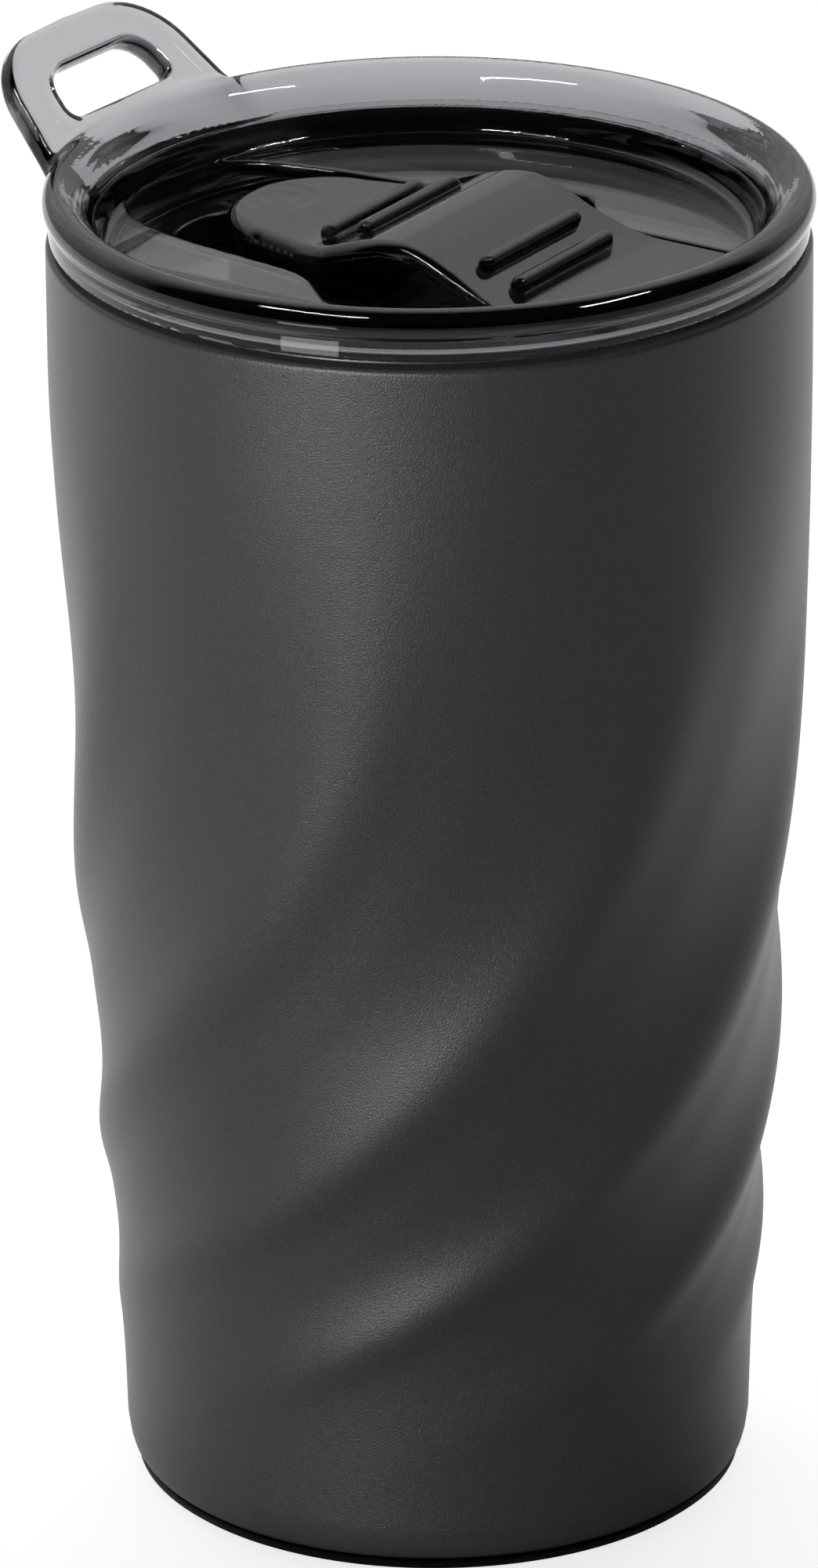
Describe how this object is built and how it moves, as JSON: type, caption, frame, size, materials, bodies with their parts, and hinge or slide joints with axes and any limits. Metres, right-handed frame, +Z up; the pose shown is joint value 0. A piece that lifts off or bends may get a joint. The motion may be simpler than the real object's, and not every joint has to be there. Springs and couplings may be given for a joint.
{
  "type": "insulated tumbler",
  "caption": "Double-wall insulated tumbler with softly twisted ridges and a smoked lid that has a carry tab and a sliding closure over the drinking opening.",
  "frame": {"origin": "centre of the foot on the ground plane", "axes": "+Z up the cup axis, -X towards the carry tab and the drinking opening, the slider moves along X"},
  "size_m": [0.1005, 0.09, 0.1711],
  "materials": {
    "coated_shell": "fine grained powder coat, charcoal",
    "steel": "fine brushed",
    "steel_plate": "rolled",
    "foot": "matte",
    "getter": "sintered",
    "seal_plug": "fused",
    "smoked": "polished smoked clear",
    "gasket": "soft translucent",
    "slider": "polished smoked",
    "slider_seal": "soft matte"
  },
  "bodies": {
    "cup": {"outer_shell": "coated_shell", "inner_liner": "steel", "base_plate": "steel_plate", "base_pad": "foot", "getter": "getter", "vacuum_seal": "seal_plug"},
    "lid": {"lid_body": "smoked", "lid_gasket": "gasket"},
    "slider": {"slider": "slider", "slider_seal": "slider_seal"}
  },
  "joints": [
    {"name": "lid_lift", "type": "slide", "parent": "cup", "child": "lid", "axis": [0, 0, 1], "range_m": [0, 0.04]},
    {"name": "slider_slide", "type": "slide", "parent": "lid", "child": "slider", "axis": [-1, 0, 0], "range_m": [0, 0.0096]}
  ]
}
